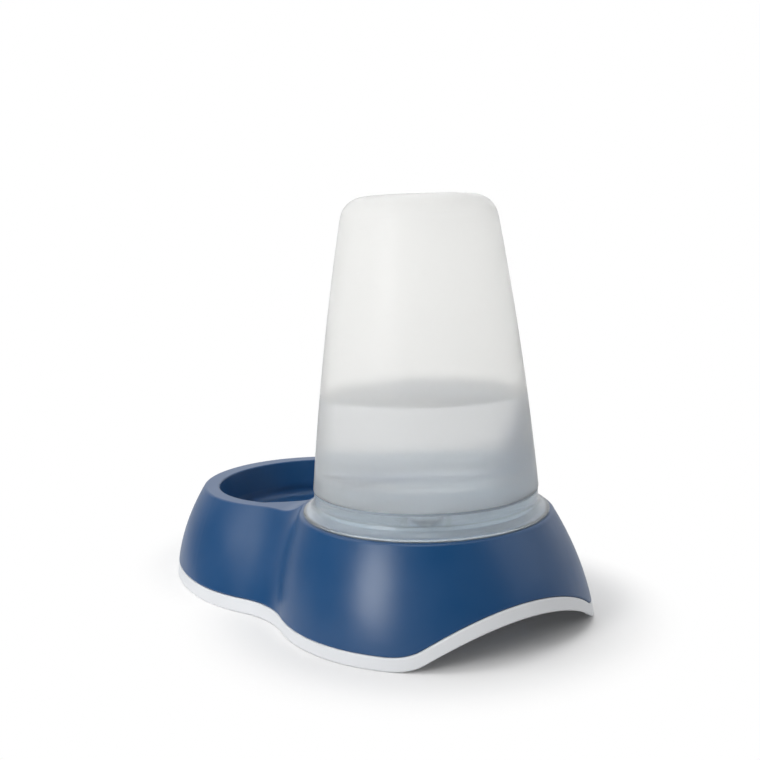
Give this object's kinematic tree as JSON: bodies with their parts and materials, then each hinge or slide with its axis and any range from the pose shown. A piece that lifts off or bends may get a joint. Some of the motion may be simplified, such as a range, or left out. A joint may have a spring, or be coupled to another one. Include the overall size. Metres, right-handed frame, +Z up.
{
  "type": "pet water dispenser",
  "caption": "Free-standing gravity water dispenser for pets: inverted frosted tank with a valved screw lid, on a two-lobed base with a drinking bowl.",
  "frame": {"origin": "middle of the footprint, on the floor", "axes": "+Z up, +Y from the bowl towards the tank, X = 0 is the mirror plane"},
  "size_m": [0.2006, 0.3032, 0.2273],
  "materials": {
    "base_shell": "smooth satin blue",
    "foot_trim": "soft white, matte",
    "tank": "frosted translucent",
    "lid": "translucent bluish white",
    "lid_gasket": "grey",
    "valve_plunger": "smooth white",
    "valve_seal": "soft dark grey",
    "valve_spring": "drawn wire",
    "valve_clip": "smooth white"
  },
  "bodies": {
    "base": {"base_shell": "base_shell", "foot_trim": "foot_trim"},
    "valve": {"valve_plunger": "valve_plunger", "valve_seal": "valve_seal", "valve_clip": "valve_clip"},
    "lid": {"lid": "lid", "valve_spring": "valve_spring"},
    "gasket": {"lid_gasket": "lid_gasket"},
    "tank": {"tank": "tank"}
  },
  "joints": [
    {"name": "reservoir_lift", "type": "slide", "parent": "base", "child": "valve", "axis": [0, 0, 1], "range_m": [0, 0.1]},
    {"name": "valve_travel", "type": "slide", "parent": "valve", "child": "lid", "axis": [0, 0, 1], "range_m": [0, 0.0047], "stiffness_N_per_m": 100, "springref_m": 0.008, "deforming": ["valve_spring"]},
    {"name": "tank_rise", "type": "slide", "parent": "lid", "child": "gasket", "axis": [0, 0, 1], "range_m": [0, 0.006]},
    {"name": "tank_turn", "type": "hinge", "parent": "gasket", "child": "tank", "pos_m": [0, 0.06399, 0.075], "axis": [0, 0, 1], "range_deg": [0, 360]}
  ],
  "couplings": [
    {"joint": "tank_rise", "follows": "tank_turn", "m_per_rad": 0.00095493}
  ]
}
